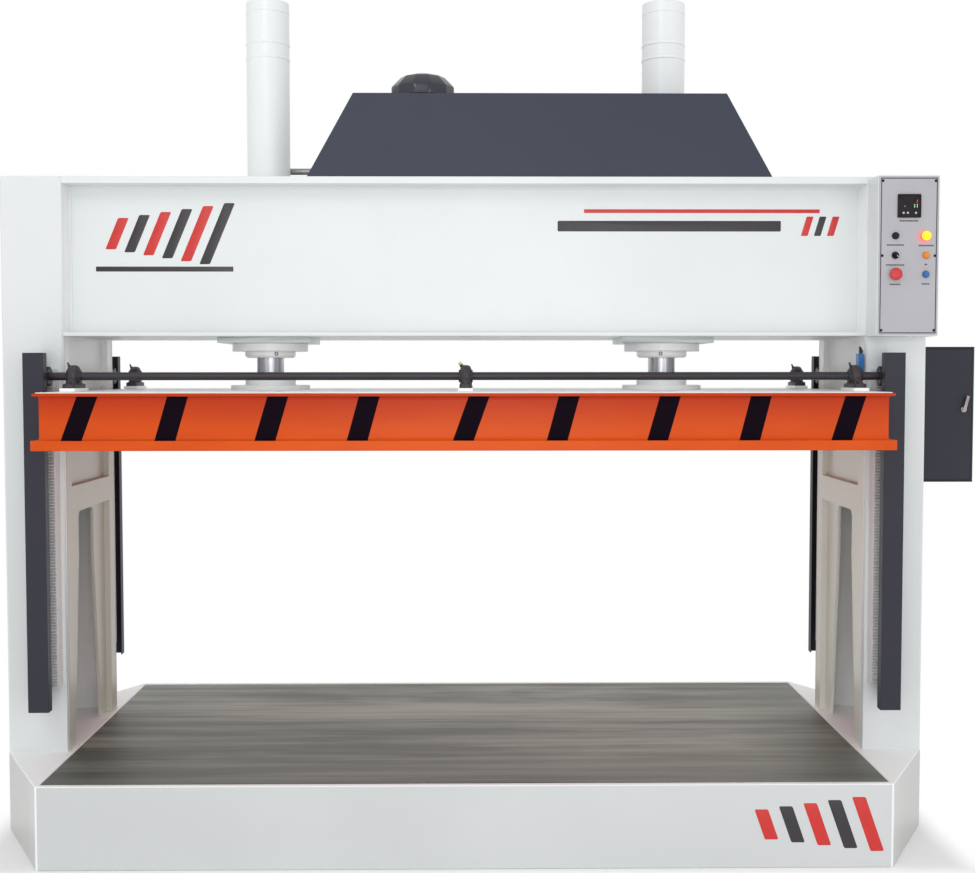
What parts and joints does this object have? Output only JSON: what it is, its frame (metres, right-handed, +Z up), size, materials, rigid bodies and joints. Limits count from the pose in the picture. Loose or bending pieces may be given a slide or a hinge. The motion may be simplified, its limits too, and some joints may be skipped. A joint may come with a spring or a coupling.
{
  "type": "hydraulic platen press",
  "caption": "Wide hydraulic platen press: two overhead cylinders push a beam-stiffened platen down on a bed, kept level by racks, pinions and cross shafts.",
  "frame": {"origin": "middle of the base's underside, on the floor", "axes": "+Z up, -Y towards the operator, +X to the operator's right, towards the control box"},
  "size_m": [3.216, 1.3, 2.685],
  "materials": {
    "frame_paint": "light grey enamel",
    "platen_paint": "orange enamel",
    "deck_paint": "pale enamel",
    "charcoal_paint": "satin",
    "tank_paint": "satin",
    "motor_paint": "satin",
    "ground_steel": "ground",
    "dark_steel": "blackened",
    "hard_chrome": "polished",
    "pump_aluminium": "cast",
    "iron": "cast",
    "seal_rubber": "matte",
    "panel_face": "satin film on sheet",
    "black_plastic": "satin",
    "orange_plastic": "gloss",
    "blue_plastic": "gloss",
    "red_plastic": "gloss",
    "yellow_lens": "lit",
    "lid_metal": "polished casting"
  },
  "bodies": {
    "frame": {"base_frame": "frame_paint", "column_left": "frame_paint", "column_right": "frame_paint", "column_web_left": "frame_paint", "column_web_right": "frame_paint", "crosshead_top_plate": "frame_paint", "crosshead_bottom_plate": "frame_paint", "crosshead_front_web": "frame_paint", "crosshead_rear_web": "frame_paint", "crosshead_ribs": "frame_paint", "barrel_left": "frame_paint", "barrel_right": "frame_paint", "glands": "frame_paint", "control_box": "frame_paint", "guard_front_left": "charcoal_paint", "guard_front_right": "charcoal_paint", "guard_rear_left": "charcoal_paint", "guard_rear_right": "charcoal_paint", "cabinet_box": "charcoal_paint", "oil_tank": "tank_paint", "pump_motor": "motor_paint", "bed_plate": "ground_steel", "cylinder_bolts": "ground_steel", "valve_block": "ground_steel", "pressure_pipes": "ground_steel", "tank_pipes": "ground_steel", "rack_front_left": "dark_steel", "rack_front_right": "dark_steel", "rack_rear_left": "dark_steel", "rack_rear_right": "dark_steel", "gear_pump": "pump_aluminium", "switch_bracket": "pump_aluminium", "control_panel": "panel_face", "hour_meter": "black_plastic", "solenoid_valve": "black_plastic", "limit_switch": "blue_plastic", "power_lamp": "yellow_lens"},
    "platen": {"platen_plate": "platen_paint", "platen_frame": "platen_paint", "platen_deck": "deck_paint", "rods": "hard_chrome", "pistons": "ground_steel", "piston_seals": "seal_rubber", "rod_feet": "frame_paint", "bearing_spacers": "frame_paint", "bearing_blocks": "iron", "bearing_bolts": "dark_steel"},
    "front_shaft": {"shaft_front": "dark_steel", "pinions_front": "dark_steel"},
    "rear_shaft": {"shaft_rear": "dark_steel", "pinions_rear": "dark_steel"},
    "lid": {"tank_lid": "lid_metal"},
    "start_button": {"start_button": "black_plastic"},
    "mode_selector": {"mode_selector": "black_plastic"},
    "emergency_stop": {"emergency_stop": "red_plastic"},
    "up_button": {"up_button": "orange_plastic"},
    "down_button": {"down_button": "blue_plastic"},
    "cabinet_door": {"cabinet_door": "charcoal_paint"},
    "cabinet_lock": {"cabinet_lock": "hard_chrome"},
    "switch_lever": {"switch_lever": "black_plastic"}
  },
  "joints": [
    {"name": "platen_slide", "type": "slide", "parent": "frame", "child": "platen", "axis": [0, 0, -1], "range_m": [0, 0.95]},
    {"name": "front_shaft_spin", "type": "hinge", "parent": "platen", "child": "front_shaft", "pos_m": [0, -0.37, 1.4485], "axis": [1, 0, 0], "range_deg": [-5, 2020]},
    {"name": "rear_shaft_spin", "type": "hinge", "parent": "platen", "child": "rear_shaft", "pos_m": [0, 0.37, 1.4485], "axis": [-1, 0, 0], "range_deg": [-5, 2020]},
    {"name": "lid_lift", "type": "slide", "parent": "frame", "child": "lid", "axis": [0, 0, 1], "range_m": [0, 0.12]},
    {"name": "start_button_press", "type": "slide", "parent": "frame", "child": "start_button", "axis": [0, 1, 0], "range_m": [0, 0.004], "stiffness_N_per_m": 600, "springref_m": -0.001},
    {"name": "up_button_press", "type": "slide", "parent": "frame", "child": "up_button", "axis": [0, 1, 0], "range_m": [0, 0.004], "stiffness_N_per_m": 600, "springref_m": -0.001},
    {"name": "down_button_press", "type": "slide", "parent": "frame", "child": "down_button", "axis": [0, 1, 0], "range_m": [0, 0.004], "stiffness_N_per_m": 600, "springref_m": -0.001},
    {"name": "emergency_stop_press", "type": "slide", "parent": "frame", "child": "emergency_stop", "axis": [0, 1, 0], "range_m": [0, 0.005]},
    {"name": "mode_turn", "type": "hinge", "parent": "frame", "child": "mode_selector", "pos_m": [1.322, -0.396, 1.819], "axis": [0, 1, 0], "range_deg": [0, 90]},
    {"name": "cabinet_door_hinge", "type": "hinge", "parent": "frame", "child": "cabinet_door", "pos_m": [1.4758, 0.0756, 1.314], "axis": [0, 0, -1], "range_deg": [0, 80]},
    {"name": "cabinet_lock_turn", "type": "hinge", "parent": "cabinet_door", "child": "cabinet_lock", "pos_m": [1.718, 0.0816, 1.332], "axis": [0, -1, 0], "range_deg": [0, 90]},
    {"name": "switch_lever_trip", "type": "hinge", "parent": "frame", "child": "switch_lever", "pos_m": [1.255, -0.28, 1.5245], "axis": [0, 1, 0], "range_deg": [-30, 30], "stiffness_Nm_per_rad": 0.05}
  ],
  "couplings": [
    {"joint": "front_shaft_spin", "follows": "platen_slide", "rad_per_m": 37.037},
    {"joint": "rear_shaft_spin", "follows": "platen_slide", "rad_per_m": 37.037}
  ]
}
